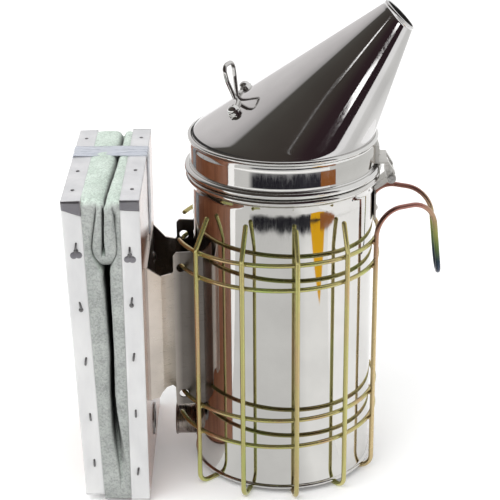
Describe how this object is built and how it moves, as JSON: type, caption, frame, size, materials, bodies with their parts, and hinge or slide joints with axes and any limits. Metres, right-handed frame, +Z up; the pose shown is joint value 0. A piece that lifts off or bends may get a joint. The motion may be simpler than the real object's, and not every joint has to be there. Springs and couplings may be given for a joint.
{
  "type": "bee smoker",
  "caption": "Stainless bee smoker: fire can in a wire guard with a hanging hook, hinged oblique cone lid with tilted mouth, and a two-board leatherette bellows.",
  "frame": {"origin": "on the surface it stands on, under the axis of the fire chamber", "axes": "+Z up along the chamber, +X towards the lid's mouth, hinge and hook, -X towards the bellows; XZ is the plane of symmetry"},
  "size_m": [0.2058, 0.12, 0.2705],
  "materials": {
    "polished_steel": "mirror polished stainless steel",
    "sheet_steel": "satin stainless sheet",
    "hardware_steel": "bright steel",
    "zinc_wire": "yellow zinc plating with faint pink and green tints",
    "edging_metal": "bright rolled strip",
    "board_wood": "bare plywood",
    "leatherette": "suede-like grey-green",
    "strap_plastic": "thin translucent strap"
  },
  "bodies": {
    "smoker_body": {"chamber_shell": "polished_steel", "chamber_base": "polished_steel", "bellows_bracket": "sheet_steel", "air_inlet_tube": "sheet_steel", "can_hinge_leaf": "sheet_steel", "outlet_eyelet": "sheet_steel", "hinge_pin": "hardware_steel", "can_leaf_rivets": "hardware_steel", "bracket_screws": "hardware_steel", "front_nails": "hardware_steel", "bellows_spring": "hardware_steel", "guard_ring_top": "zinc_wire", "guard_ring_upper": "zinc_wire", "guard_ring_lower": "zinc_wire", "guard_ring_bottom": "zinc_wire", "guard_uprights_near": "zinc_wire", "guard_uprights_far": "zinc_wire", "hanging_hook": "zinc_wire", "front_strip_top": "edging_metal", "front_strip_foot": "edging_metal", "front_strip_near": "edging_metal", "front_strip_far": "edging_metal", "front_board": "board_wood", "bellows_skin": "leatherette", "board_hinge_strip": "leatherette", "storage_band": "strap_plastic"},
    "lid": {"lid_cone": "polished_steel", "lid_collar": "polished_steel", "lid_handle": "polished_steel", "handle_nuts": "polished_steel", "lid_hinge_leaf": "sheet_steel", "lid_leaf_rivets": "hardware_steel"},
    "rear_bellows": {"rear_board": "board_wood", "rear_nails": "hardware_steel", "valve_strip": "board_wood", "valve_tacks": "hardware_steel", "rear_strip_top": "edging_metal", "rear_strip_foot": "edging_metal", "rear_strip_near": "edging_metal", "rear_strip_far": "edging_metal"},
    "grate": {"grate_plate": "sheet_steel", "grate_legs": "sheet_steel"},
    "flap": {"valve_flap": "leatherette"}
  },
  "joints": [
    {"name": "lid_hinge", "type": "hinge", "parent": "smoker_body", "child": "lid", "pos_m": [0.059, 0, 0.174], "axis": [0, 1, 0], "range_deg": [0, 105]},
    {"name": "bellows_squeeze", "type": "hinge", "parent": "smoker_body", "child": "rear_bellows", "pos_m": [-0.0932, 0, 0.005], "axis": [0, -1, 0], "range_deg": [-3, 12], "stiffness_Nm_per_rad": 4, "deforming": ["bellows_skin", "bellows_spring", "board_hinge_strip", "storage_band"]},
    {"name": "valve_flap_swing", "type": "hinge", "parent": "rear_bellows", "child": "flap", "pos_m": [-0.1025, 0, 0.08648], "axis": [0, -1, 0], "range_deg": [0, 18]},
    {"name": "grate_lift", "type": "slide", "parent": "smoker_body", "child": "grate", "axis": [0, 0, 1], "range_m": [0, 0.13]}
  ]
}
